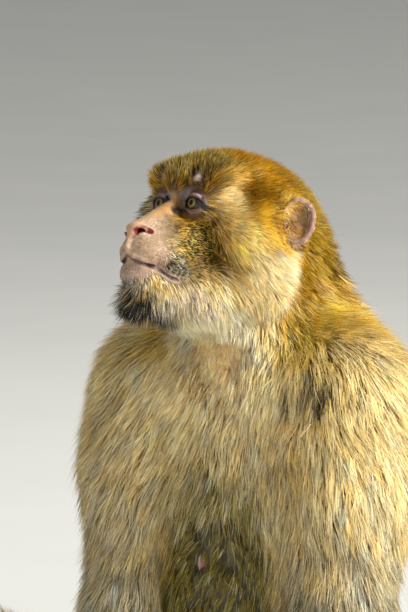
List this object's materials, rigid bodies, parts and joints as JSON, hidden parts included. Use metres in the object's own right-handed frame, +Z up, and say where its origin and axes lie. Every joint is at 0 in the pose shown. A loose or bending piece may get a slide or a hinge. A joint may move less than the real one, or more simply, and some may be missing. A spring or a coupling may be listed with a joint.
{
  "type": "barbary macaque figure",
  "caption": "Life-size still figure of a sitting Barbary macaque with its chin up and head turned, hands on the floor between its feet.",
  "frame": {"origin": "on the floor, on the midline, on the flat that the rump sits on", "axes": "+Z up, -Y the way the chest faces, +X towards the animal's left"},
  "size_m": [0.4759, 0.3914, 0.4952],
  "materials": {
    "crown_fur": "dense short fur, golden brown with dark ticking",
    "mantle_fur": "long soft fur, golden yellow with dark streaks",
    "limb_fur": "long soft fur, cream and grey",
    "palm_skin": "matt dark skin with short hair on the back",
    "ear_skin": "thin pinkish grey skin",
    "eye_amber": "wet and glossy"
  },
  "bodies": {
    "root": {"head": "crown_fur", "neck": "mantle_fur", "trunk": "mantle_fur", "tail": "mantle_fur", "ear_left": "ear_skin", "ear_right": "ear_skin", "eye_left": "eye_amber", "eye_right": "eye_amber", "upper_arm_left": "mantle_fur", "upper_arm_right": "mantle_fur", "forearm_left": "limb_fur", "forearm_right": "limb_fur", "hand_left": "palm_skin", "hand_right": "palm_skin", "thigh_left": "mantle_fur", "thigh_right": "mantle_fur", "shin_left": "limb_fur", "shin_right": "limb_fur", "foot_left": "palm_skin", "foot_right": "palm_skin"}
  },
  "joints": []
}
